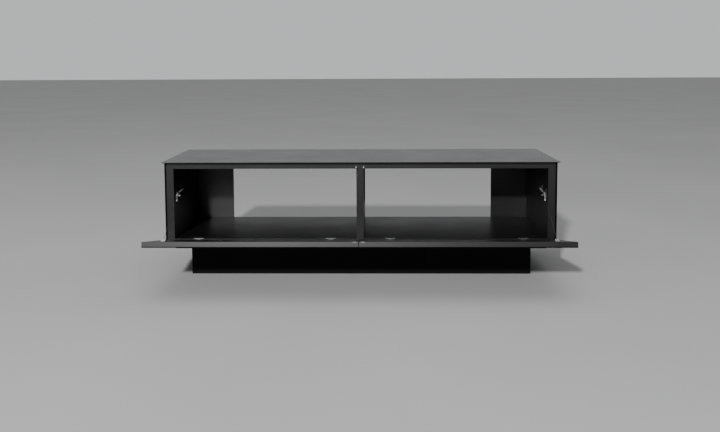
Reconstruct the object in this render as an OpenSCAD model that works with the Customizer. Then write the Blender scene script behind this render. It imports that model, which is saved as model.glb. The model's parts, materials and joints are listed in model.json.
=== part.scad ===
// Low media cabinet with two drop-down doors, held open by cable stays.
// +X is right, -Y is the front, +Z is up. The origin is on the floor, under the middle of the carcass.
// The doors are drawn open, where their stays stop them.

/* [Carcass] */
// Width over the side claddings
carcass_w = 1600; // [1400:10:2000]
// Depth from the front edges to the back edges
carcass_d = 452; // [420:2:560]
// Height of the carcass underside above the floor
carcass_z = 137; // [115:1:180]
// Height of the carcass, from its underside to the top plate
carcass_h = 336; // [320:1:400]
// Thickness of the side boards
side_t = 29; // [24:1:35]
// Thickness of the dark claddings on the outer sides
cladding_t = 8; // [4:1:10]
// Thickness of the middle divider
divider_t = 30; // [24:1:40]
// Thickness of the top panel
top_panel_t = 25; // [24:1:30]
// Thickness of the bottom panel
bottom_panel_t = 22; // [20:1:28]
// Width of each back panel
back_panel_w = 164; // [80:2:300]
// Thickness of the back panels
back_panel_t = 8; // [4:1:12]

/* [Top plate] */
// Thickness of the metal top plate
plate_t = 4; // [3:0.5:6]
// Thickness left at its bevelled edge
plate_edge_t = 1; // [0.5:0.5:2]
// Width of the bevel under its front and side edges
plate_bevel = 6; // [2:1:10]
// Overhang at each side
plate_side = 7; // [0:1:15]
// Overhang at the front
plate_front = 26; // [25:1:40]
// Overhang at the back
plate_back = 2; // [0:1:10]

/* [Doors] */
// Thickness of the door boards
door_board_t = 18; // [17.5:0.5:20]
// Thickness of the skin on the outer face of each door
door_skin_t = 3.5; // [2:0.5:4]
// Gap between a closed door and the carcass, and under the top plate
door_gap = 3; // [2.5:0.5:4]
// Gap between the two doors
door_split = 2; // [1.5:0.5:6]
// Angle above the horizontal at which an open door stops
door_tilt = 11.7; // [5:0.1:20]

/* [Hinges] */
// Distance of the hinge pin from the inner face of its door
pin_from_face = 12.3; // [12:0.1:12.4]
// Distance of the hinge pin from the bottom edge of its door
pin_from_edge = 8; // [7.5:0.1:8]
// Radius of the hinge pin
pin_r = 2; // [1.5:0.1:2.5]
// Width of the hinge body
hinge_w = 42; // [38:1:50]
// Width of the hinge knuckle
knuckle_w = 20; // [16:1:24]
// Distance from a side board to the outer hinge
hinge_outer_gap = 97; // [60:1:160]
// Distance from the divider to the inner hinge
hinge_inner_gap = 107; // [60:1:160]

/* [Door stays] */
// Distance of the swivel axle behind the front of the carcass
stay_y = 24; // [23:1:32]
// Height of the swivel axle above the floor
stay_z = 334; // [300:1:340]
// Distance of the tube and cable from the side board
stay_wall = 9; // [8.5:0.5:12]
// Length of the brake tube
tube_l = 95; // [95:5:150]
// Outer radius of the brake tube
tube_r = 3; // [3:0.1:3.3]
// Rise of the tube towards the back
tube_rise = 4.5; // [0:0.5:10]
// Radius of the steel cable
cable_r = 0.75; // [0.5:0.25:1]
// Radius of the bend at the front of the tube
bend_r = 15; // [14:0.5:16]
// Length of the straight spout below the bend
spout_l = 11.5; // [8:0.5:14]
// Length of the swivelling guide
guide_l = 17; // [15:0.5:17]

/* [Push latches] */
// Distance of each latch from the middle
latch_x = 15; // [12:1:25]
// Height of the latches above the underside of the top panel
latch_z = 8.5; // [8:0.5:12]
// Travel of the plunger
latch_travel = 30; // [10:1:35]
// Radius of the plunger
plunger_r = 2.5; // [2:0.5:3]

/* [Base] */
// Thickness of the board between carcass and plinth
base_board_t = 22; // [18:1:25]
// Setback of that board behind the front of the carcass
base_board_back = 15; // [5:1:40]
// Setback of the plinth at the front and at the back
plinth_back = 47; // [30:1:80]
// Inset of the plinth at each side
plinth_inset = 95; // [60:5:200]
// Thickness of the plinth boards
plinth_t = 18; // [16:1:22]

/* [Hidden] */
$fn = 48;
eps = 0.01;
// Radial clearance of every pin that turns or slides in a hole
run_gap = 0.05;

// Carcass faces
inner_x = carcass_w / 2 - cladding_t - side_t;
side_x = inner_x + side_t;
front_y = -carcass_d / 2;
back_y = carcass_d / 2;
top_z = carcass_z + carcass_h;
floor_z = carcass_z + bottom_panel_t;
ceiling_z = top_z - top_panel_t;

// Doors, drawn closed in a frame with the hinge pin at its origin
door_h = carcass_h - door_gap;
door_w = (carcass_w - door_split) / 2;
door_low = -pin_from_edge;
door_high = door_low + door_h;
door_angle = 90 - door_tilt;
board_back = pin_from_face - door_board_t;
pin_y = front_y - door_gap - pin_from_face;
pin_z = carcass_z + pin_from_edge;

// Hinges
hinge_outer_x = inner_x - hinge_outer_gap;
hinge_inner_x = divider_t / 2 + hinge_inner_gap;
knuckle_r = 5;
arm_t = 6.4;
leaf_t = 1.5;
leaf_d = 14;
flange_t = 2.5;
flange_h = 19;
cheek_t = 6;
cheek_gap = 0.4;
cup_w = knuckle_w + 2 * (cheek_gap + cheek_t);
cup_high = 8;
cup_plate_t = 3;
cup_plate_h = 22;
slot_high = 5.8;
cup_screw_x = 11;
cup_screw_z = 19;
leaf_screw_x = 14;
leaf_screw_y = 8;

// Screws: shank radius, head radius and lengths
screw_r = 1.75;
screw_head_r = 3.5;
screw_drive_r = 1.5;
screw_drive_d = 1.2;
screw_long = 16;
screw_short = 12;
base_screw_r = 2.5;
base_screw_head_r = 5;
base_screw_l = 34;

// Stays: the axle and the eye on the door lie on one circle round the hinge pin
axle_y = front_y + stay_y;
stay_x = inner_x - stay_wall;
stay_radius = norm([axle_y - pin_y, stay_z - pin_z]);
eye_rise = 5.5;
eye_y = pin_from_face + eye_rise;
eye_z = sqrt(pow(stay_radius, 2) - pow(eye_y, 2));
axle_angle = atan2(stay_z - pin_z, axle_y - pin_y);
eye_angle = atan2(eye_z, eye_y) + door_angle;
cable_angle = (axle_angle + eye_angle) / 2 + 90;
cable_l = 2 * stay_radius * sin((eye_angle - axle_angle) / 2);
axle_r = 1.6;
axle_cap_r = 3.2;
axle_cap_l = 9;
axle_cap_x = -3.4;
guide_ring_r = 4;
guide_ring_w = 2.6;
guide_neck_r = 1.25;
// The tube lies above the axle, and its bend goes round the front of the axle
tube_up = 7;
bend_y = 1;
bend_skin = 1;
slot_w = 3.2;
window_margin = 8;
window_reach = 40;
tube_wall = 0.8;
tube_end_t = 3;
piston_l = 16;
piston_start = 13;
piston_groove_r = 1.5;
piston_groove_l = 4;
mount_plate_t = 2.5;
collar_r = 4.5;
collar_l = 10;
collar_front = 6;
collar_rear = 78;
mount_half_h = 17;
mount_screw_z = 12;
axle_pad = 7;
barrel_r = 2.6;
barrel_w = 6;
eye_pin_r = 1.5;
bracket_half_w = 7.5;
bracket_half_l = 14;
bracket_t = 2;
bracket_ear_t = 2.2;
bracket_ear_x = 4;
bracket_ear_r = 3.2;
bracket_ear_w = 6;
bracket_screw_z = 10;

// Push latches
latch_height = ceiling_z + latch_z;
latch_r = 4.5;
latch_l = 62;
latch_flange_r = 5.5;
latch_flange_t = 0.5;
latch_bore_l = 58;
plunger_closed = 2.1;
plunger_tail = 20;
plunger_cap_r = 3.3;
plunger_cap_t = 1.1;
strike_w = 15;
strike_l = 21;
strike_t = 1.5;
strike_proud = 0.5;
strike_lip_t = 1.2;
strike_lip_l = 2.5;

// Dowels
dowel_r = 4;
dowel_half_l = 18;
dowel_short = 14;
dowel_rows = [-180, 0, 180];
bottom_mid_z = carcass_z + bottom_panel_t / 2;
top_mid_z = top_z - top_panel_t / 2;

// Base
plinth_h = carcass_z - base_board_t;
plinth_x = carcass_w / 2 - plinth_inset;
plinth_y = carcass_d / 2 - plinth_back;
base_board_y = carcass_d / 2 - base_board_back;
socket_w = 36;
socket_h = 40;
socket_z = 40;
foot_r = 15;
foot_h = 6;
stem_r = 4;
stem_top = socket_z + socket_h - 2;
foot_end_x = plinth_x - plinth_t - socket_w / 2;
foot_xs = [-foot_end_x, plinth_t / 2 + socket_w / 2, foot_end_x];
foot_y = plinth_y - plinth_t - socket_w / 2;
base_screw_xs = [-600, -200, 200, 600];
base_screw_y = 120;

board_colour = "#2b2b2c";
dark_colour = "#151516";
plinth_colour = "#0c0c0d";
plate_colour = "#3a3b3d";
chrome_colour = "#c9ccd0";
steel_colour = "#9a9da1";
brass_colour = "#b59a5a";
wood_colour = "#b8925e";
nylon_colour = "#202022";

// Everything with a left and a right copy is drawn on the right
module on_side(side) {
  mirror([side < 0 ? 1 : 0, 0, 0]) children();
}

// A cylinder along +X that starts at x
module rod_x(x, length, r) {
  translate([x, 0, 0]) rotate([0, 90, 0]) cylinder(h = length, r = r);
}

// A cylinder along +Y that starts at y
module rod_y(y, length, r) {
  translate([0, y, 0]) rotate([-90, 0, 0]) cylinder(h = length, r = r);
}

// The space of a countersunk screw whose head is level with z = 0 and whose shank points down
module screw_space(length, r, head_r) {
  translate([0, 0, -length]) cylinder(h = length, r = r);
  translate([0, 0, r - head_r]) cylinder(h = head_r - r, r1 = r, r2 = head_r);
}

// The screw itself, with a hexagonal drive
module screw(length, r = screw_r, head_r = screw_head_r) {
  difference() {
    screw_space(length, r, head_r);
    translate([0, 0, -screw_drive_d]) cylinder(h = 2 * screw_drive_d, r = screw_drive_r, $fn = 6);
  }
}

// Frame of an open door: pin at the origin, inner face towards +Y, free edge towards +Z
module on_door() {
  translate([0, pin_y, pin_z]) rotate([door_angle, 0, 0]) children();
}

// Frame of a stay: axle at the origin, wall on the +X side
module at_stay() {
  translate([stay_x, axle_y, stay_z]) rotate([tube_rise, 0, 0]) children();
}

// Frame of the brake tube: its straight part along +Y from the origin
module at_tube() {
  at_stay() translate([0, bend_y, tube_up]) children();
}

// Frame of the swivelling guide: cable along +Y
module at_guide() {
  translate([stay_x, axle_y, stay_z]) rotate([cable_angle, 0, 0]) children();
}

// Places of the screws

module at_leaf_screws() {
  for (x = [hinge_inner_x, hinge_outer_x], dx = [-leaf_screw_x, leaf_screw_x])
    translate([x + dx, front_y + leaf_screw_y, floor_z + leaf_t]) children();
}

module at_mount_screws() {
  at_tube() {
    for (y = [collar_front, collar_rear], z = [-mount_screw_z, mount_screw_z])
      translate([stay_wall - mount_plate_t, y + collar_l / 2, z]) rotate([0, -90, 0]) children();
  }
}

module at_cup_screws() {
  for (x = [hinge_inner_x, hinge_outer_x], dx = [-cup_screw_x, cup_screw_x])
    translate([x + dx, pin_from_face, cup_screw_z]) rotate([-90, 0, 0]) children();
}

module at_bracket_screws() {
  for (dz = [-bracket_screw_z, bracket_screw_z])
    translate([stay_x, pin_from_face + bracket_t, eye_z + dz]) rotate([-90, 0, 0]) children();
}

module at_base_screws() {
  for (x = base_screw_xs, y = [-base_screw_y, base_screw_y])
    translate([x, y, plinth_h]) rotate([180, 0, 0]) children();
}

// Dowels of the side joints and of the divider joints

module side_dowels() {
  for (side = [-1, 1], y = dowel_rows, z = [bottom_mid_z, top_mid_z])
    on_side(side) translate([0, y, z]) rod_x(inner_x - dowel_half_l, 2 * dowel_half_l, dowel_r);
}

module divider_dowels() {
  for (y = dowel_rows) {
    translate([0, y, floor_z - dowel_short]) cylinder(h = dowel_short + dowel_half_l, r = dowel_r);
    translate([0, y, ceiling_z - dowel_half_l]) cylinder(h = dowel_half_l + dowel_short, r = dowel_r);
  }
}

module dowels() {
  color(wood_colour) {
    side_dowels();
    divider_dowels();
  }
}

// Carcass

module top_plate() {
  width = carcass_w + 2 * plate_side;
  depth = carcass_d + plate_front + plate_back;
  color(plate_colour) hull() {
    translate([-width / 2, front_y - plate_front, top_z + plate_t - plate_edge_t])
      cube([width, depth, plate_edge_t]);
    translate([plate_bevel - width / 2, front_y - plate_front + plate_bevel, top_z])
      cube([width - 2 * plate_bevel, depth - plate_bevel, plate_t]);
  }
}

module top_panel() {
  color(board_colour) difference() {
    translate([-inner_x, front_y, ceiling_z]) cube([2 * inner_x, carcass_d, top_panel_t]);
    side_dowels();
    divider_dowels();
    for (x = [-latch_x, latch_x])
      translate([x, 0, latch_height]) rod_y(front_y - eps, latch_l + eps, latch_r);
  }
}

module bottom_panel() {
  color(board_colour) difference() {
    translate([-inner_x, front_y, carcass_z]) cube([2 * inner_x, carcass_d, bottom_panel_t]);
    side_dowels();
    divider_dowels();
    for (side = [-1, 1]) on_side(side) {
      for (x = [hinge_inner_x, hinge_outer_x])
        translate([x - knuckle_w / 2, front_y - eps, floor_z - flange_h])
          cube([knuckle_w, flange_t + eps, flange_h + eps]);
      at_leaf_screws() screw_space(screw_long, screw_r, screw_head_r);
    }
    at_base_screws() screw_space(base_screw_l, base_screw_r, base_screw_head_r);
  }
}

module divider() {
  color(board_colour) difference() {
    translate([-divider_t / 2, front_y, floor_z]) cube([divider_t, carcass_d, ceiling_z - floor_z]);
    divider_dowels();
  }
}

module side_panel(side) {
  color(board_colour) difference() {
    on_side(side) translate([inner_x, front_y, carcass_z]) cube([side_t, carcass_d, carcass_h]);
    side_dowels();
    on_side(side) at_mount_screws() screw_space(screw_long, screw_r, screw_head_r);
  }
}

module side_cladding(side) {
  color(dark_colour) on_side(side)
    translate([side_x, front_y, carcass_z]) cube([cladding_t, carcass_d, carcass_h]);
}

module back_panel(side) {
  color(board_colour) on_side(side)
    translate([inner_x - back_panel_w, back_y - back_panel_t, floor_z])
      cube([back_panel_w, back_panel_t, ceiling_z - floor_z]);
}

// Base

module base_board() {
  color(dark_colour) difference() {
    translate([-inner_x, -base_board_y, plinth_h]) cube([2 * inner_x, 2 * base_board_y, base_board_t]);
    at_base_screws() screw_space(base_screw_l, base_screw_r, base_screw_head_r);
  }
}

module base_screws() {
  color(steel_colour) at_base_screws() screw(base_screw_l, base_screw_r, base_screw_head_r);
}

module plinth_rail(y) {
  color(plinth_colour) translate([-plinth_x, y, 0]) cube([2 * plinth_x, plinth_t, plinth_h]);
}

module plinth_cross(x) {
  color(plinth_colour) translate([x, plinth_t - plinth_y, 0])
    cube([plinth_t, 2 * (plinth_y - plinth_t), plinth_h]);
}

module foot_sockets() {
  color(nylon_colour) for (x = foot_xs, y = [-foot_y, foot_y])
    difference() {
      translate([x - socket_w / 2, y - socket_w / 2, socket_z]) cube([socket_w, socket_w, socket_h]);
      translate([x, y, socket_z - eps]) cylinder(h = stem_top - socket_z + eps, r = stem_r);
    }
}

module levelling_feet() {
  color(steel_colour) for (x = foot_xs, y = [-foot_y, foot_y])
    translate([x, y, 0]) {
      cylinder(h = foot_h, r1 = foot_r, r2 = foot_r - foot_h / 2);
      cylinder(h = stem_top, r = stem_r);
    }
}

// Hinges

module hinge_body(side, x) {
  color(chrome_colour) on_side(side) difference() {
    union() {
      translate([x - hinge_w / 2, front_y, floor_z]) cube([hinge_w, leaf_d, leaf_t]);
      translate([x - knuckle_w / 2, front_y, floor_z - flange_h])
        cube([knuckle_w, flange_t, flange_h + leaf_t]);
      translate([x - knuckle_w / 2, pin_y, pin_z - arm_t / 2])
        cube([knuckle_w, front_y + flange_t - pin_y, arm_t]);
      translate([x, pin_y, pin_z]) rod_x(-knuckle_w / 2, knuckle_w, knuckle_r);
    }
    translate([x, pin_y, pin_z]) rod_x(-knuckle_w, 2 * knuckle_w, pin_r + run_gap);
    at_leaf_screws() screw_space(screw_long, screw_r, screw_head_r);
  }
}

// The space that a hinge cup takes in its door board
module cup_space(x) {
  translate([x - cup_w / 2, board_back, door_low]) cube([cup_w, door_board_t, cup_high - door_low]);
  translate([x - cup_w / 2, pin_from_face - cup_plate_t, cup_high]) cube([cup_w, cup_plate_t, cup_plate_h]);
}

module hinge_cup(side, x) {
  slot_w = knuckle_w + 2 * cheek_gap;
  color(chrome_colour) on_side(side) on_door() difference() {
    cup_space(x);
    translate([x - slot_w / 2, board_back - eps, door_low - eps])
      cube([slot_w, door_board_t + 2 * eps, slot_high - door_low + eps]);
    translate([x, 0, 0]) rod_x(-cup_w, 2 * cup_w, pin_r);
    at_cup_screws() screw_space(screw_short, screw_r, screw_head_r);
  }
}

module hinge_pins(side) {
  color(steel_colour) on_side(side) on_door()
    for (x = [hinge_inner_x, hinge_outer_x]) translate([x, 0, 0]) rod_x(-cup_w / 2, cup_w, pin_r);
}

module carcass_screws() {
  color(steel_colour) for (side = [-1, 1]) on_side(side) {
    at_leaf_screws() screw(screw_long);
    at_mount_screws() screw(screw_long);
  }
}

module door_screws(side) {
  color(steel_colour) on_side(side) on_door() {
    at_cup_screws() screw(screw_short);
    at_bracket_screws() screw(screw_short);
  }
}

// Doors

module door_board(side) {
  color(board_colour) on_side(side) on_door() difference() {
    translate([door_split / 2, board_back, door_low]) cube([door_w, door_board_t, door_h]);
    for (x = [hinge_inner_x, hinge_outer_x]) {
      // The cup opens at the inner face and at the bottom edge
      cup_space(x);
      translate([x - cup_w / 2, board_back - eps, door_low - eps])
        cube([cup_w, door_board_t + 2 * eps, cup_high - door_low]);
      translate([x - cup_w / 2, pin_from_face - cup_plate_t, cup_high - eps])
        cube([cup_w, cup_plate_t + eps, cup_plate_h + eps]);
    }
    translate([latch_x - strike_w / 2, pin_from_face + strike_proud - strike_t, door_high - strike_l])
      cube([strike_w, strike_t, strike_l + eps]);
    at_cup_screws() screw_space(screw_short, screw_r, screw_head_r);
    at_bracket_screws() screw_space(screw_short, screw_r, screw_head_r);
  }
}

module door_skin(side) {
  color(dark_colour) on_side(side) on_door()
    translate([door_split / 2, board_back - door_skin_t, door_low]) cube([door_w, door_skin_t, door_h]);
}

module strike(side) {
  face_y = pin_from_face + strike_proud;
  color(chrome_colour) on_side(side) on_door() {
    translate([latch_x - strike_w / 2, face_y - strike_t, door_high - strike_l])
      cube([strike_w, strike_t, strike_l + strike_lip_t]);
    translate([latch_x - strike_w / 2, face_y - strike_t - strike_lip_l, door_high])
      cube([strike_w, strike_t + strike_lip_l, strike_lip_t]);
  }
}

// Push latches

module latch_housing(side) {
  color(nylon_colour) on_side(side) translate([latch_x, 0, latch_height]) difference() {
    union() {
      rod_y(front_y, latch_l, latch_r);
      rod_y(front_y - latch_flange_t, latch_flange_t, latch_flange_r);
    }
    rod_y(front_y - 1, latch_bore_l + 1, plunger_r + run_gap);
  }
}

module latch_plunger(side) {
  tip_y = front_y - plunger_closed - latch_travel;
  color(steel_colour) on_side(side) translate([latch_x, 0, latch_height]) {
    rod_y(tip_y, plunger_closed + latch_travel + plunger_tail, plunger_r);
    rod_y(tip_y, plunger_cap_t, plunger_cap_r);
  }
}

// Door stays

// The bend, a quarter ring that turns the front of the tube down
module stay_bend() {
  translate([0, 0, -bend_r]) rotate([0, 90, 0]) rotate([0, 0, 180])
    rotate_extrude(angle = 90) translate([bend_r, 0]) circle(r = tube_r);
}

// The window in the bend that the cable swings in
module cable_window() {
  high = cable_angle - tube_rise + window_margin;
  low = high - door_angle / 2 - 2 * window_margin;
  rotate([90, 0, 90]) linear_extrude(slot_w, center = true)
    polygon([[0, 0], for (angle = [low, high]) window_reach * [cos(angle), sin(angle)]]);
}

module stay_tube(side) {
  color(chrome_colour) on_side(side) difference() {
    at_tube() {
      rod_y(0, tube_l, tube_r);
      stay_bend();
      translate([0, -bend_r, -bend_r - spout_l]) cylinder(h = spout_l, r = tube_r);
    }
    at_tube() {
      rod_y(-1, tube_l - tube_end_t + 1, tube_r - tube_wall);
      // Groove along the inner side of the bend
      translate([0, 0, -bend_r]) rod_x(-slot_w / 2, slot_w, bend_r + tube_r - bend_skin);
    }
    at_stay() cable_window();
  }
}

module stay_piston(side) {
  color(brass_colour) on_side(side) at_tube() difference() {
    rod_y(piston_start, piston_l, tube_r - tube_wall - run_gap);
    difference() {
      rod_y(piston_start + piston_l / 2 - piston_groove_l / 2, piston_groove_l, tube_r);
      rod_y(piston_start, piston_l, piston_groove_r);
    }
  }
}

// A collar round the tube on a plate against the side board, which starts at y
module stay_mount(y) {
  translate([stay_wall - mount_plate_t, y, -mount_half_h]) cube([mount_plate_t, collar_l, 2 * mount_half_h]);
  translate([0, y, -collar_r]) cube([stay_wall - mount_plate_t / 2, collar_l, 2 * collar_r]);
  rod_y(y, collar_l, collar_r);
}

module stay_front_mount(side) {
  color(nylon_colour) on_side(side) difference() {
    union() {
      at_tube() stay_mount(collar_front);
      at_stay() translate([stay_wall - mount_plate_t, -axle_pad, -axle_pad])
        cube([mount_plate_t, axle_pad + bend_y + collar_front + eps, 2 * axle_pad]);
    }
    at_tube() rod_y(0, tube_l, tube_r);
    at_stay() rod_x(0, 2 * stay_wall, axle_r);
    at_mount_screws() screw_space(screw_long, screw_r, screw_head_r);
  }
}

module stay_rear_mount(side) {
  color(nylon_colour) on_side(side) difference() {
    at_tube() stay_mount(collar_rear);
    at_tube() rod_y(0, tube_l, tube_r);
    at_mount_screws() screw_space(screw_long, screw_r, screw_head_r);
  }
}

module stay_axle(side) {
  color(chrome_colour) on_side(side) at_stay() {
    rod_x(axle_cap_x, stay_wall - axle_cap_x, axle_r);
    rod_x(axle_cap_x - axle_cap_l, axle_cap_l, axle_cap_r);
  }
}

module stay_guide(side) {
  color(chrome_colour) on_side(side) at_guide() difference() {
    union() {
      rod_x(-guide_ring_w / 2, guide_ring_w, guide_ring_r);
      rod_y(0, guide_l, guide_neck_r);
    }
    rod_x(-guide_ring_w, 2 * guide_ring_w, axle_r + run_gap);
    rod_y(axle_r, guide_l, cable_r + run_gap);
  }
}

module stay_cable(side) {
  color(steel_colour) on_side(side) at_guide()
    rod_y(guide_ring_r, cable_l - barrel_r - guide_ring_r, cable_r);
}

module stay_bracket(side) {
  color(chrome_colour) on_side(side) on_door() difference() {
    union() {
      translate([stay_x - bracket_half_w, pin_from_face, eye_z - bracket_half_l])
        cube([2 * bracket_half_w, bracket_t, 2 * bracket_half_l]);
      for (x = [-bracket_ear_x - bracket_ear_t, bracket_ear_x]) {
        translate([stay_x + x, pin_from_face, eye_z - bracket_ear_w / 2])
          cube([bracket_ear_t, eye_rise, bracket_ear_w]);
        translate([stay_x, eye_y, eye_z]) rod_x(x, bracket_ear_t, bracket_ear_r);
      }
      translate([stay_x, eye_y, eye_z]) rod_x(-bracket_ear_x, 2 * bracket_ear_x, eye_pin_r);
      translate([stay_x, eye_y, eye_z]) rod_x(-barrel_w / 2, barrel_w, barrel_r);
    }
    at_bracket_screws() screw_space(screw_short, screw_r, screw_head_r);
  }
}

top_plate();
top_panel();
bottom_panel();
divider();
side_panel(-1);  // side_panel_left
side_panel(1);  // side_panel_right
side_cladding(-1);  // side_cladding_left
side_cladding(1);  // side_cladding_right
back_panel(-1);  // back_panel_left
back_panel(1);  // back_panel_right
dowels();
base_board();
base_screws();
plinth_rail(-plinth_y);  // plinth_front
plinth_rail(plinth_y - plinth_t);  // plinth_back_board
plinth_cross(-plinth_t / 2);  // plinth_centre
plinth_cross(-plinth_x);  // plinth_side_left
plinth_cross(plinth_x - plinth_t);  // plinth_side_right
foot_sockets();
levelling_feet();
hinge_body(-1, hinge_outer_x);  // hinge_body_left_outer
hinge_body(-1, hinge_inner_x);  // hinge_body_left_inner
hinge_body(1, hinge_inner_x);  // hinge_body_right_inner
hinge_body(1, hinge_outer_x);  // hinge_body_right_outer
hinge_cup(-1, hinge_outer_x);  // hinge_cup_left_outer
hinge_cup(-1, hinge_inner_x);  // hinge_cup_left_inner
hinge_cup(1, hinge_inner_x);  // hinge_cup_right_inner
hinge_cup(1, hinge_outer_x);  // hinge_cup_right_outer
hinge_pins(-1);  // hinge_pins_left
hinge_pins(1);  // hinge_pins_right
carcass_screws();
door_screws(-1);  // door_screws_left
door_screws(1);  // door_screws_right
door_board(-1);  // door_board_left
door_board(1);  // door_board_right
door_skin(-1);  // door_skin_left
door_skin(1);  // door_skin_right
strike(-1);  // strike_left
strike(1);  // strike_right
latch_housing(-1);  // latch_housing_left
latch_housing(1);  // latch_housing_right
latch_plunger(-1);  // latch_plunger_left
latch_plunger(1);  // latch_plunger_right
stay_tube(-1);  // stay_tube_left
stay_tube(1);  // stay_tube_right
stay_front_mount(-1);  // stay_front_mount_left
stay_front_mount(1);  // stay_front_mount_right
stay_rear_mount(-1);  // stay_rear_mount_left
stay_rear_mount(1);  // stay_rear_mount_right
stay_axle(-1);  // stay_axle_left
stay_axle(1);  // stay_axle_right
stay_piston(-1);  // stay_piston_left
stay_piston(1);  // stay_piston_right
stay_guide(-1);  // stay_guide_left
stay_guide(1);  // stay_guide_right
stay_cable(-1);  // stay_cable_left
stay_cable(1);  // stay_cable_right
stay_bracket(-1);  // stay_bracket_left
stay_bracket(1);  // stay_bracket_right
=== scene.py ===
"""Looks of the media cabinet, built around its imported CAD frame. Units are metres."""
import json
import math

import bmesh
import bpy
from mathutils import Matrix, Vector


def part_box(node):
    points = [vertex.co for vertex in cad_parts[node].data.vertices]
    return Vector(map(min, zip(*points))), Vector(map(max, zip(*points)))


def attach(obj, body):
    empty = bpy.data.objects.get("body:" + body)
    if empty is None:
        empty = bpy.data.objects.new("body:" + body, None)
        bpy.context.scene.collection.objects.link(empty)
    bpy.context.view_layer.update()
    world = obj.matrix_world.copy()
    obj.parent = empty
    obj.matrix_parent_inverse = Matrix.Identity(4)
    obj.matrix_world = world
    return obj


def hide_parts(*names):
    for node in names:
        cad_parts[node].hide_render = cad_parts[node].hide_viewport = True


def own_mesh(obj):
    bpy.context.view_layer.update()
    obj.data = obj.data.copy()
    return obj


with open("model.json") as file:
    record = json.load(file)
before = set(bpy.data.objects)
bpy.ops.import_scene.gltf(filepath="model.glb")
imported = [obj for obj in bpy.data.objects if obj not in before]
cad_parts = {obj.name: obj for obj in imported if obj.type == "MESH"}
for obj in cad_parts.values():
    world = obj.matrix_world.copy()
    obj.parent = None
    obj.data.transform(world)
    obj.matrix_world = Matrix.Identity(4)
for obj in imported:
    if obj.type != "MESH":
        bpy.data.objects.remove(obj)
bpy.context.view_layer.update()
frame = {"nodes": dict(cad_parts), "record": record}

SLOT_OF = {part["node"]: part["material_slot"] for part in frame["record"]["subparts"]}
BODY_OF = {
    node: body
    for body, nodes in frame["record"]["behaviour"]["bodies"].items()
    for node in nodes
}
MM = 0.001
SIDES = ("left", "right")
# Brightness of the surroundings: as the camera sees them, as gloss sees them, and as fill light
BACKDROP = 0.62
BACK_GLOSS = 0.44
FRONT_GLOSS = 0.05
DIFFUSE_FILL = 0.2
# The dark cards: the gap under them over the floor of the bays, and how far in they stand
FLAG_GAP = 0.075
FLAG_INSET = 0.001
# The floor's half width, far enough out to meet the horizon
FLOOR_HALF = 40
# Edges sharper than this many degrees are rounded, or stay sharp on turned pieces
SHARP_ANGLE = 35
# Points of the CAD mesh closer than this are one, and faces within this many degrees are flat
MERGE_DISTANCE = 0.00001
FLAT_ANGLE = 0.5

# The camera's place, and its angles in degrees
CAMERA_PLACE = (0.0579, -3.3393, 0.8759)
CAMERA_YAW = 1.072
CAMERA_PITCH = 4.398
CAMERA_ROLL = -0.257

# Lacquer: how far its roughness strays down and up, and how much lighter its flecks and rubs are
ROUGH_DOWN = 0.02
ROUGH_UP = 0.04
FLECK_GAIN = 1.9
RUB_GAIN = 3.2
# Metal: its darker tint, and how far its roughness strays, as shares of the even values
METAL_TINT = 0.9
METAL_ROUGH_LOW = 0.85
METAL_ROUGH_HIGH = 1.2
# Moulded plastic: how much lighter its grain is, and how far its roughness strays
GRAIN_GAIN = 1.7
GRAIN_ROUGH = 0.06


def add_object(name, data):
    """A new object in the scene."""
    made = bpy.data.objects.new(name, data)
    bpy.context.scene.collection.objects.link(made)
    return made


# Camera


def add_camera():
    """A camera in front of the cabinet, a little above it and turned slightly to the left."""
    data = bpy.data.cameras.new("camera")
    data.sensor_width = 36
    data.lens = 38.569
    data.shift_x = 0.0004
    data.shift_y = -0.13
    camera = add_object("camera", data)
    turn = (
        Matrix.Rotation(math.radians(CAMERA_YAW), 4, "Z")
        @ Matrix.Rotation(math.pi / 2 - math.radians(CAMERA_PITCH), 4, "X")
        @ Matrix.Rotation(math.radians(CAMERA_ROLL), 4, "Z")
    )
    camera.matrix_world = Matrix.Translation(CAMERA_PLACE) @ turn
    bpy.context.scene.camera = camera


# Materials


def add(tree, kind, inputs=None, **settings):
    """A new shader node. An input is a value, or another node's output socket to link."""
    made = tree.nodes.new(kind)
    for name, value in settings.items():
        setattr(made, name, value)
    for name, value in (inputs or {}).items():
        if isinstance(value, bpy.types.NodeSocket):
            tree.links.new(value, made.inputs[name])
        else:
            made.inputs[name].default_value = value
    return made


def grey(value):
    """A grey of that linear value."""
    return (value, value, value, 1)


def start_material(name):
    """An empty material, its node tree, its shader and its coordinates in metres."""
    material = bpy.data.materials.new(name)
    material.use_nodes = True
    tree = material.node_tree
    shader = tree.nodes["Principled BSDF"]
    place = add(tree, "ShaderNodeTexCoord").outputs["Object"]
    return material, tree, shader, place


def noise(tree, place, scale, detail=3.0, stretch=None):
    """Smooth noise from 0 to 1. stretch lengthens its features along X, Y and Z."""
    if stretch:
        squeeze = [1 / factor for factor in stretch]
        mapping = add(tree, "ShaderNodeMapping", {"Vector": place, "Scale": squeeze})
        place = mapping.outputs["Vector"]
    made = add(tree, "ShaderNodeTexNoise", {"Vector": place, "Scale": scale, "Detail": detail})
    return made.outputs["Fac"]


def spread(tree, value, low, high, start=0.3, end=0.7):
    """Maps a noise value between start and end to the range from low to high."""
    made = add(
        tree,
        "ShaderNodeMapRange",
        {"Value": value, "From Min": start, "From Max": end, "To Min": low, "To Max": high},
    )
    return made.outputs["Result"]


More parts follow.
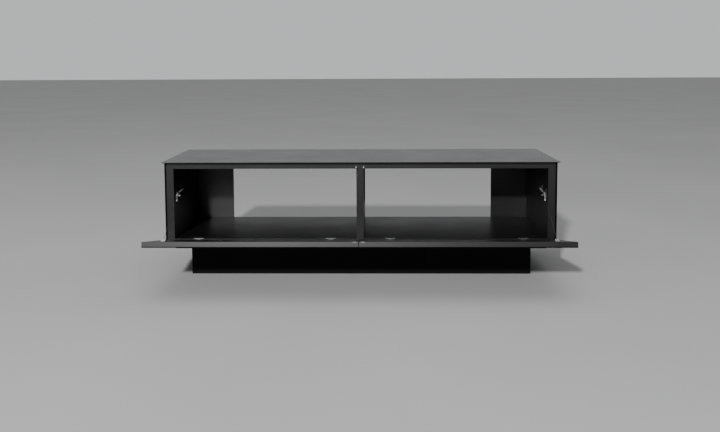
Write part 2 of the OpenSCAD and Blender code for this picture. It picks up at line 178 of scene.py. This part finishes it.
def mix_colours(tree, factor, first, second):
    """Goes from the first colour to the second as factor, a node's output, goes from 0 to 1."""
    made = add(tree, "ShaderNodeMix", data_type="RGBA")
    # The sockets of a colour mix share their names with those of its other types
    factor_socket, first_socket, second_socket = (made.inputs[index] for index in (0, 6, 7))
    for socket, value in ((factor_socket, factor), (first_socket, first), (second_socket, second)):
        if isinstance(value, bpy.types.NodeSocket):
            tree.links.new(value, socket)
        else:
            socket.default_value = value
    return made.outputs[2]


def bump(tree, shader, height, strength, distance):
    """Gives the shader the relief of a height from 0 to 1, distance metres deep."""
    inputs = {"Height": height, "Strength": strength, "Distance": distance}
    made = add(tree, "ShaderNodeBump", inputs)
    tree.links.new(made.outputs["Normal"], shader.inputs["Normal"])


def lacquer(name, dark, light, rough, specular, peel, wear=0.0):
    """Satin lacquer: cloudy tone, fine flecks, uneven gloss and an orange-peel surface."""
    material, tree, shader, place = start_material(name)
    cloud = spread(tree, noise(tree, place, scale=4.5, detail=5), 0, 1)
    tone = mix_colours(tree, cloud, grey(dark), grey(light))
    fleck = noise(tree, place, scale=1400, detail=2)
    fleck = spread(tree, fleck, 0, 0.35, start=0.55, end=0.75)
    tone = mix_colours(tree, fleck, tone, grey(light * FLECK_GAIN))
    if wear:
        rub = noise(tree, place, scale=60, detail=6)
        rub = spread(tree, rub, 0, wear, start=0.48, end=0.62)
        tone = mix_colours(tree, rub, tone, grey(light * RUB_GAIN))
    tree.links.new(tone, shader.inputs["Base Color"])
    smudge = noise(tree, place, scale=7, detail=6)
    gloss = spread(tree, smudge, rough - ROUGH_DOWN, rough + ROUGH_UP)
    tree.links.new(gloss, shader.inputs["Roughness"])
    shader.inputs["Specular IOR Level"].default_value = specular
    skin = noise(tree, place, scale=900, detail=3)
    bump(tree, shader, skin, strength=peel, distance=0.0004)
    return material


def metal(name, colour, rough, scratch, scale=500, strength=0.03):
    """Bare or plated metal with uneven gloss and fine scratches.

    scratch lengthens the scratches along X, Y and Z.
    """
    material, tree, shader, place = start_material(name)
    tint = spread(tree, noise(tree, place, scale=90, detail=4), 0, 1)
    worn = tuple(channel * METAL_TINT for channel in colour)
    tree.links.new(mix_colours(tree, tint, (*worn, 1), (*colour, 1)), shader.inputs["Base Color"])
    shader.inputs["Metallic"].default_value = 1
    lines = noise(tree, place, scale, detail=4, stretch=scratch)
    gloss = spread(tree, lines, rough * METAL_ROUGH_LOW, rough * METAL_ROUGH_HIGH)
    tree.links.new(gloss, shader.inputs["Roughness"])
    bump(tree, shader, lines, strength, distance=0.0002)
    return material


def beech(name):
    """Turned beech with short dark rays and rings along X."""
    material, tree, shader, place = start_material(name)
    rings = noise(tree, place, scale=120, detail=4, stretch=(12, 1, 1))
    early, late, ray = (0.42, 0.25, 0.12, 1), (0.62, 0.42, 0.23, 1), (0.25, 0.13, 0.06, 1)
    tone = mix_colours(tree, spread(tree, rings, 0, 1), early, late)
    rays = noise(tree, place, scale=700, detail=2, stretch=(6, 1, 1))
    rays = spread(tree, rays, 0, 0.6, start=0.6, end=0.8)
    tree.links.new(mix_colours(tree, rays, tone, ray), shader.inputs["Base Color"])
    tree.links.new(spread(tree, rings, 0.5, 0.7), shader.inputs["Roughness"])
    bump(tree, shader, rings, strength=0.2, distance=0.0003)
    return material


def moulded(name, value, rough):
    """Moulded plastic with a fine spark-eroded grain."""
    material, tree, shader, place = start_material(name)
    grain = noise(tree, place, scale=1100, detail=3)
    tone = mix_colours(tree, spread(tree, grain, 0, 1), grey(value), grey(value * GRAIN_GAIN))
    tree.links.new(tone, shader.inputs["Base Color"])
    smudge = noise(tree, place, scale=30, detail=3)
    gloss = spread(tree, smudge, rough - GRAIN_ROUGH, rough + GRAIN_ROUGH)
    tree.links.new(gloss, shader.inputs["Roughness"])
    bump(tree, shader, grain, strength=0.25, distance=0.0003)
    return material


LACQUERS = {
    "plate_graphite": dict(dark=0.027, light=0.036, rough=0.24, specular=0.87, peel=0.04),
    "board_graphite": dict(dark=0.0045, light=0.0075, rough=0.39, specular=0.4, peel=0.05),
    "skin_black": dict(dark=0.006, light=0.010, rough=0.42, specular=0.2, peel=0.05),
    "plinth_black": dict(dark=0.002, light=0.0032, rough=0.6, specular=0.1, peel=0.08),
}
# The rounded edges of painted boards are a little rubbed, and the plate's edges are painted dark as
# shade
WORN_AND_SHADED_EDGE_LACQUERS = {
    # Far darker and duller than the plate's top: painted shade along the plate's front edge
    "plate_graphite": dict(dark=0.002, light=0.0035, rough=0.5, specular=0.03, peel=0.04),
    "board_graphite": dict(dark=0.004, light=0.006, rough=0.39, specular=0.38, peel=0.05),
    "skin_black": dict(dark=0.0016, light=0.0026, rough=0.5, specular=0.03, peel=0.05),
    "plinth_black": dict(dark=0.002, light=0.003, rough=0.55, specular=0.1, peel=0.08),
}
EDGE_WEAR = 0.3
METALS = {
    "zinc_steel": dict(colour=(0.5, 0.5, 0.48), rough=0.36, scratch=(1, 8, 1), strength=0.05),
    "cable_steel": dict(
        colour=(0.16, 0.16, 0.165), rough=0.42, scratch=(1, 1, 1), scale=900, strength=0.05
    ),
    "brass": dict(colour=(0.72, 0.52, 0.25), rough=0.28, scratch=(1, 6, 1), strength=0.05),
    "chrome": dict(
        colour=(0.29, 0.295, 0.305), rough=0.36, scratch=(8, 1, 1), scale=300, strength=0.02
    ),
}
# Plated parts whose gloss differs from the rest of their slot, and whose colour is painted lighter
# as a highlight on the stay tubes, brackets and plungers, and darker as shade on the axles and
# strikes
LIT_AND_SHADED_PLATINGS = {
    "chrome_satin_painted_highlight": dict(colour=(0.92, 0.93, 0.94), rough=0.58, scratch=(1, 6, 1)),
    "chrome_soft_painted_highlight": dict(colour=(0.42, 0.425, 0.44), rough=0.56, scratch=(1, 6, 1)),
    "chrome_dull_painted_shade": dict(colour=(0.22, 0.22, 0.23), rough=0.4, scratch=(1, 6, 1)),
    "chrome_dark_painted_shade": dict(colour=(0.1, 0.101, 0.105), rough=0.42, scratch=(6, 1, 1)),
}
# Which plated parts carry a painted highlight or painted shade in their colour
PLATED = {
    "stay_tube": "chrome_satin_painted_highlight",
    "stay_bracket": "chrome_soft_painted_highlight",
    "latch_plunger": "chrome_soft_painted_highlight",
    "stay_axle": "chrome_dull_painted_shade",
    "strike": "chrome_dark_painted_shade",
}
FINISHES = {
    **{slot: lacquer(slot, **look) for slot, look in LACQUERS.items()},
    **{slot: metal(slot, **look) for slot, look in METALS.items()},
    "beech": beech("beech"),
    "nylon_black": moulded("nylon_black", value=0.012, rough=0.5),
}
WORN_AND_SHADED_EDGE_FINISHES = {
    slot: lacquer(slot + "_edge", wear=EDGE_WEAR, **look) for slot, look in WORN_AND_SHADED_EDGE_LACQUERS.items()
}
LIT_AND_SHADED_PLATED_FINISHES = {plating: metal(plating, **look) for plating, look in LIT_AND_SHADED_PLATINGS.items()}
# Each of these parts gets its painted highlight or painted shade in place of its slot's finish
LIT_AND_SHADED_NODE_FINISHES = {
    f"{part}_{side}": LIT_AND_SHADED_PLATED_FINISHES[plating] for part, plating in PLATED.items() for side in SIDES
}
# Thin boards whose narrow faces have the edge finish too
DARK_EDGED = {"skin_black"}
# Radius of the rounded edges, in millimetres
EDGE_RADII = {
    "plate_graphite": 0.3,
    "board_graphite": 0.6,
    "skin_black": 0.5,
    "plinth_black": 0.7,
    "beech": 0.5,
    "nylon_black": 0.8,
    "zinc_steel": 0.15,
    "cable_steel": 0.1,
    "brass": 0.2,
    "chrome": 0.25,
}


# Pieces


def add_piece(name, mesh, node):
    """A piece that stands for a CAD node: it rides on the node's body, in the node's finish."""
    piece = add_object(name, mesh)
    mesh.materials.append(LIT_AND_SHADED_NODE_FINISHES.get(node) or FINISHES[SLOT_OF[node]])
    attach(piece, BODY_OF[node])
    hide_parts(node)
    return piece


def make_mesh(name, shape):
    """A mesh of that shape, which is freed."""
    mesh = bpy.data.meshes.new(name)
    shape.to_mesh(mesh)
    shape.free()
    return mesh


def add_rounded(node):
    """The CAD node's own shape with its edges rounded. Material 1 is the edges' own finish, which
    on the plate is painted shade.
    """
    slot = SLOT_OF[node]
    shape = bmesh.new()
    shape.from_mesh(frame["nodes"][node].data)
    bmesh.ops.remove_doubles(shape, verts=shape.verts, dist=MERGE_DISTANCE)
    bmesh.ops.dissolve_limit(
        shape, angle_limit=math.radians(FLAT_ANGLE), verts=shape.verts, edges=shape.edges
    )
    for face in shape.faces:
        face.smooth = True
        face.material_index = 0
    if slot in DARK_EDGED:
        by_area = sorted(shape.faces, key=lambda face: face.calc_area())
        for narrow in by_area[:-2]:
            narrow.material_index = 1
    name = node + "_finished"
    mesh = make_mesh(name, shape)
    piece = add_piece(name, mesh, node)
    if slot in WORN_AND_SHADED_EDGE_FINISHES:
        mesh.materials.append(WORN_AND_SHADED_EDGE_FINISHES[slot])
    rounding = piece.modifiers.new("rounding", "BEVEL")
    rounding.width = EDGE_RADII[slot] * MM
    rounding.segments = 3
    rounding.limit_method = "ANGLE"
    rounding.angle_limit = math.radians(SHARP_ANGLE)
    rounding.use_clamp_overlap = True
    rounding.material = 1 if slot in WORN_AND_SHADED_EDGE_FINISHES else -1
    shading = piece.modifiers.new("shading", "WEIGHTED_NORMAL")
    shading.weight = 100


def sharpen(shape, degrees=SHARP_ANGLE):
    """Shades every face smooth and marks the edges sharper than that angle."""
    for face in shape.faces:
        face.smooth = True
    for edge in shape.edges:
        edge.smooth = edge.calc_face_angle(0) < math.radians(degrees)


def add_turned(node, name, start, direction, profile, ribs=(), rib_depth=0.0):
    """A turned piece: profile gives distance from start and radius, in millimetres.

    The rings of the profile that ribs names have every other point cut in by rib_depth.
    """
    count = 48
    axis = Vector(direction)
    across = axis.orthogonal().normalized()
    up = axis.cross(across)
    shape = bmesh.new()
    rings = []
    for row, (along, radius) in enumerate(profile):
        centre = start + axis * along * MM
        if radius == 0:
            rings.append([shape.verts.new(centre)])
            continue
        ring = []
        for step in range(count):
            angle = math.tau * step / count
            cut = rib_depth if row in ribs and step % 2 else 0
            spoke = across * math.cos(angle) + up * math.sin(angle)
            ring.append(shape.verts.new(centre + spoke * (radius - cut) * MM))
        rings.append(ring)
    for low, high in zip(rings, rings[1:]):
        for step in range(count):
            after = (step + 1) % count
            corners = [low[step % len(low)], low[after % len(low)]]
            corners += [high[after % len(high)], high[step % len(high)]]
            shape.faces.new(list(dict.fromkeys(corners)))
    bmesh.ops.recalc_face_normals(shape, faces=shape.faces)
    sharpen(shape)
    add_piece(name, make_mesh(name, shape), node)


def add_axle(side):
    """The swivel axle, with a knurled cap that has a round socket in its end.

    The profile goes from the socket's floor over the cap's end and side to the bare shaft.
    """
    node = "stay_axle_" + side
    low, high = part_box(node)
    inward = 1 if side == "left" else -1
    start = (low + high) / 2
    start.x = high.x if side == "left" else low.x
    length = (high.x - low.x) / MM
    radius = (high.z - low.z) / 2 / MM
    cap, groove, shaft = 9, 2.8, 1.6
    profile = [
        (1.4, 0), (1.4, 1.1), (0.15, 1.15), (0, 1.3), (0, 2.3), (0.25, 2.75), (0.7, 3.0),
        (1.1, radius), (1.5, radius), (1.7, radius), (cap - 1.9, radius), (cap - 1.7, radius),
        (cap - 1.3, radius), (cap - 1.2, groove), (cap - 0.9, groove), (cap - 0.8, radius),
        (cap - 0.2, radius), (cap, radius - 0.2), (cap, shaft), (length - 0.1, shaft),
        (length, shaft - 0.1), (length, 0),
    ]
    knurled = (9, 10)
    add_turned(node, f"{node}_turned", start, (-inward, 0, 0), profile, knurled, 0.28)


def add_plunger(side):
    """The latch's plunger, with a domed tip and a collar."""
    node = "latch_plunger_" + side
    low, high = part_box(node)
    start = (low + high) / 2
    start.y = low.y
    length = (high.y - low.y) / MM
    cap = (high.z - low.z) / 2 / MM
    stem, groove = 2.5, 2.3
    profile = [
        (0, 0), (0.04, 1.0), (0.16, 1.8), (0.38, 2.5), (0.66, 3.0), (0.9, cap - 0.05), (1.0, cap),
        (1.1, cap - 0.1), (1.1, stem), (4, stem), (4.1, groove), (4.9, groove), (5, stem),
        (length - 0.5, stem), (length, 2.1), (length, 0),
    ]
    add_turned(node, f"{node}_turned", start, (0, 1, 0), profile)


def cable_line(side):
    """The cable's near end, direction, length and radius, from its CAD solid's box."""
    low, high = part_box("stay_cable_" + side)
    radius = (high.x - low.x) / 2
    depth, height = high.y - low.y, high.z - low.z
    angle = math.atan2(height, depth)
    # The box is that of the rod and not of its axis, so the angle is found step by step
    rounds = 20
    for _ in range(rounds):
        rise = height - 2 * radius * math.cos(angle)
        run = depth - 2 * radius * math.sin(angle)
        angle = math.atan2(rise, run)
    direction = Vector((0, -math.cos(angle), -math.sin(angle)))
    near = Vector((
        (low.x + high.x) / 2,
        high.y - radius * math.sin(angle),
        high.z - radius * math.cos(angle),
    ))
    length = (depth - 2 * radius * math.sin(angle)) / math.cos(angle)
    return near, direction, length, radius


def add_cable(side):
    """A stranded steel cable: six strands laid round a core."""
    near, direction, length, radius = cable_line(side)
    strands, strand_r = 6, radius / 3
    lay, per_turn, sides = 11 * MM, 12, 6
    steps = round(length / lay * per_turn)
    across = Vector((1, 0, 0))
    up = direction.cross(across)
    shape = bmesh.new()
    # Strand 0 is the core
    for strand in range(strands + 1):
        reach = radius - strand_r if strand else 0
        rings = []
        for step in range(steps + 1):
            turn = math.tau * (step / per_turn + strand / strands)
            centre = near + direction * length * step / steps
            centre += (across * math.cos(turn) + up * math.sin(turn)) * reach
            ring = []
            for corner in range(sides):
                angle = turn + math.tau * corner / sides
                spoke = across * math.cos(angle) + up * math.sin(angle)
                ring.append(shape.verts.new(centre + spoke * strand_r))
            rings.append(ring)
        for first, second in zip(rings, rings[1:]):
            for corner in range(sides):
                after = (corner + 1) % sides
                shape.faces.new((first[corner], first[after], second[after], second[corner]))
        shape.faces.new(rings[0])
        shape.faces.new(rings[-1])
    bmesh.ops.recalc_face_normals(shape, faces=shape.faces)
    sharpen(shape, degrees=70)
    name = f"stay_cable_{side}_stranded"
    cable = add_piece(name, make_mesh(name, shape), "stay_cable_" + side)
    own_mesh(cable)


HAND_BUILT = {"stay_axle": add_axle, "latch_plunger": add_plunger, "stay_cable": add_cable}
CUSTOM = {f"{part}_{side}" for part in HAND_BUILT for side in SIDES}
for cad_node in frame["nodes"]:
    if cad_node not in CUSTOM:
        add_rounded(cad_node)
for cabinet_side in SIDES:
    for build in HAND_BUILT.values():
        build(cabinet_side)


# Stage


def add_card(name, corners, material):
    """A flat object with four corners."""
    mesh = bpy.data.meshes.new(name)
    mesh.from_pydata(corners, [], [(0, 1, 2, 3)])
    mesh.materials.append(material)
    return add_object(name, mesh)


def add_floor():
    """A pale floor that runs to the horizon."""
    material, tree, shader, place = start_material("pale_floor")
    cloud = spread(tree, noise(tree, place, scale=0.8, detail=4), 0, 1)
    tree.links.new(mix_colours(tree, cloud, grey(0.46), grey(0.50)), shader.inputs["Base Color"])
    gloss = spread(tree, noise(tree, place, scale=3, detail=4), 0.75, 0.85)
    tree.links.new(gloss, shader.inputs["Roughness"])
    shader.inputs["Specular IOR Level"].default_value = 0.2
    half = FLOOR_HALF
    corners = [(-half, -half, 0), (half, -half, 0), (half, half, 0), (-half, half, 0)]
    floor = add_card("floor", corners, material)


def add_flags():
    """Two dark cards in the open back that only gloss sees.

    They shade the upper part of the surroundings from the insides of the bays, as a wall
    in the cabinet's own shadow does.
    """
    material, tree, shader, place = start_material("flag")
    tone = mix_colours(tree, noise(tree, place, scale=40), grey(0.002), grey(0.004))
    tree.links.new(tone, shader.inputs["Base Color"])
    shader.inputs["Roughness"].default_value = 1
    shader.inputs["Specular IOR Level"].default_value = 0
    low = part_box("bottom_panel")[1].z + FLAG_GAP
    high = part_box("top_panel")[0].z
    divider_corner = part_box("divider")[1]
    y = divider_corner.y - FLAG_INSET
    inner = divider_corner.x
    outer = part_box("back_panel_right")[0].x
    for name, left, right in (("flag_left", -outer, -inner), ("flag_right", inner, outer)):
        corners = [(left, y, low), (right, y, low), (right, y, high), (left, y, high)]
        flag = add_card(name, corners, material)
        flag.visible_camera = False
        flag.visible_diffuse = False
        flag.visible_shadow = False
        flag.visible_transmission = False


def add_world():
    """Surroundings that gloss sees as pale behind the object and dark behind the camera."""
    world = bpy.data.worlds.new("studio")
    bpy.context.scene.world = world
    world.use_nodes = True
    tree = world.node_tree
    path = add(tree, "ShaderNodeLightPath").outputs
    direction = add(tree, "ShaderNodeTexCoord").outputs["Generated"]
    depth = add(tree, "ShaderNodeSeparateXYZ", {"Vector": direction}).outputs["Y"]
    gloss = spread(tree, depth, FRONT_GLOSS, BACK_GLOSS, start=-0.1, end=0.5)
    fill = spread(tree, path["Is Diffuse Ray"], gloss, DIFFUSE_FILL, start=0, end=1)
    strength = spread(tree, path["Is Camera Ray"], fill, BACKDROP, start=0, end=1)
    background = tree.nodes["Background"].inputs
    background["Color"].default_value = (0.97, 0.98, 1, 1)
    tree.links.new(strength, background["Strength"])


def add_lamp(name, kind, place, target, energy, **settings):
    """A lamp at place that shines towards target."""
    data = bpy.data.lights.new(name, kind)
    data.energy = energy
    for setting, value in settings.items():
        setattr(data, setting, value)
    lamp = add_object(name, data)
    lamp.location = place
    lamp.rotation_mode = "QUATERNION"
    lamp.rotation_quaternion = (Vector(target) - Vector(place)).to_track_quat("-Z", "Y")


add_camera()
add_floor()
add_flags()
add_world()
add_lamp(
    "key",
    "AREA",
    place=(-1.8, -8.9, 4.3),
    target=(0, -0.2, 0.3),
    energy=1150,
    shape="DISK",
    size=0.5,
)
add_lamp(
    "overhead",
    "SUN",
    place=(0, 0, 4),
    target=(0.1, 0.2, 0),
    energy=0.8,
    angle=math.radians(60),
)
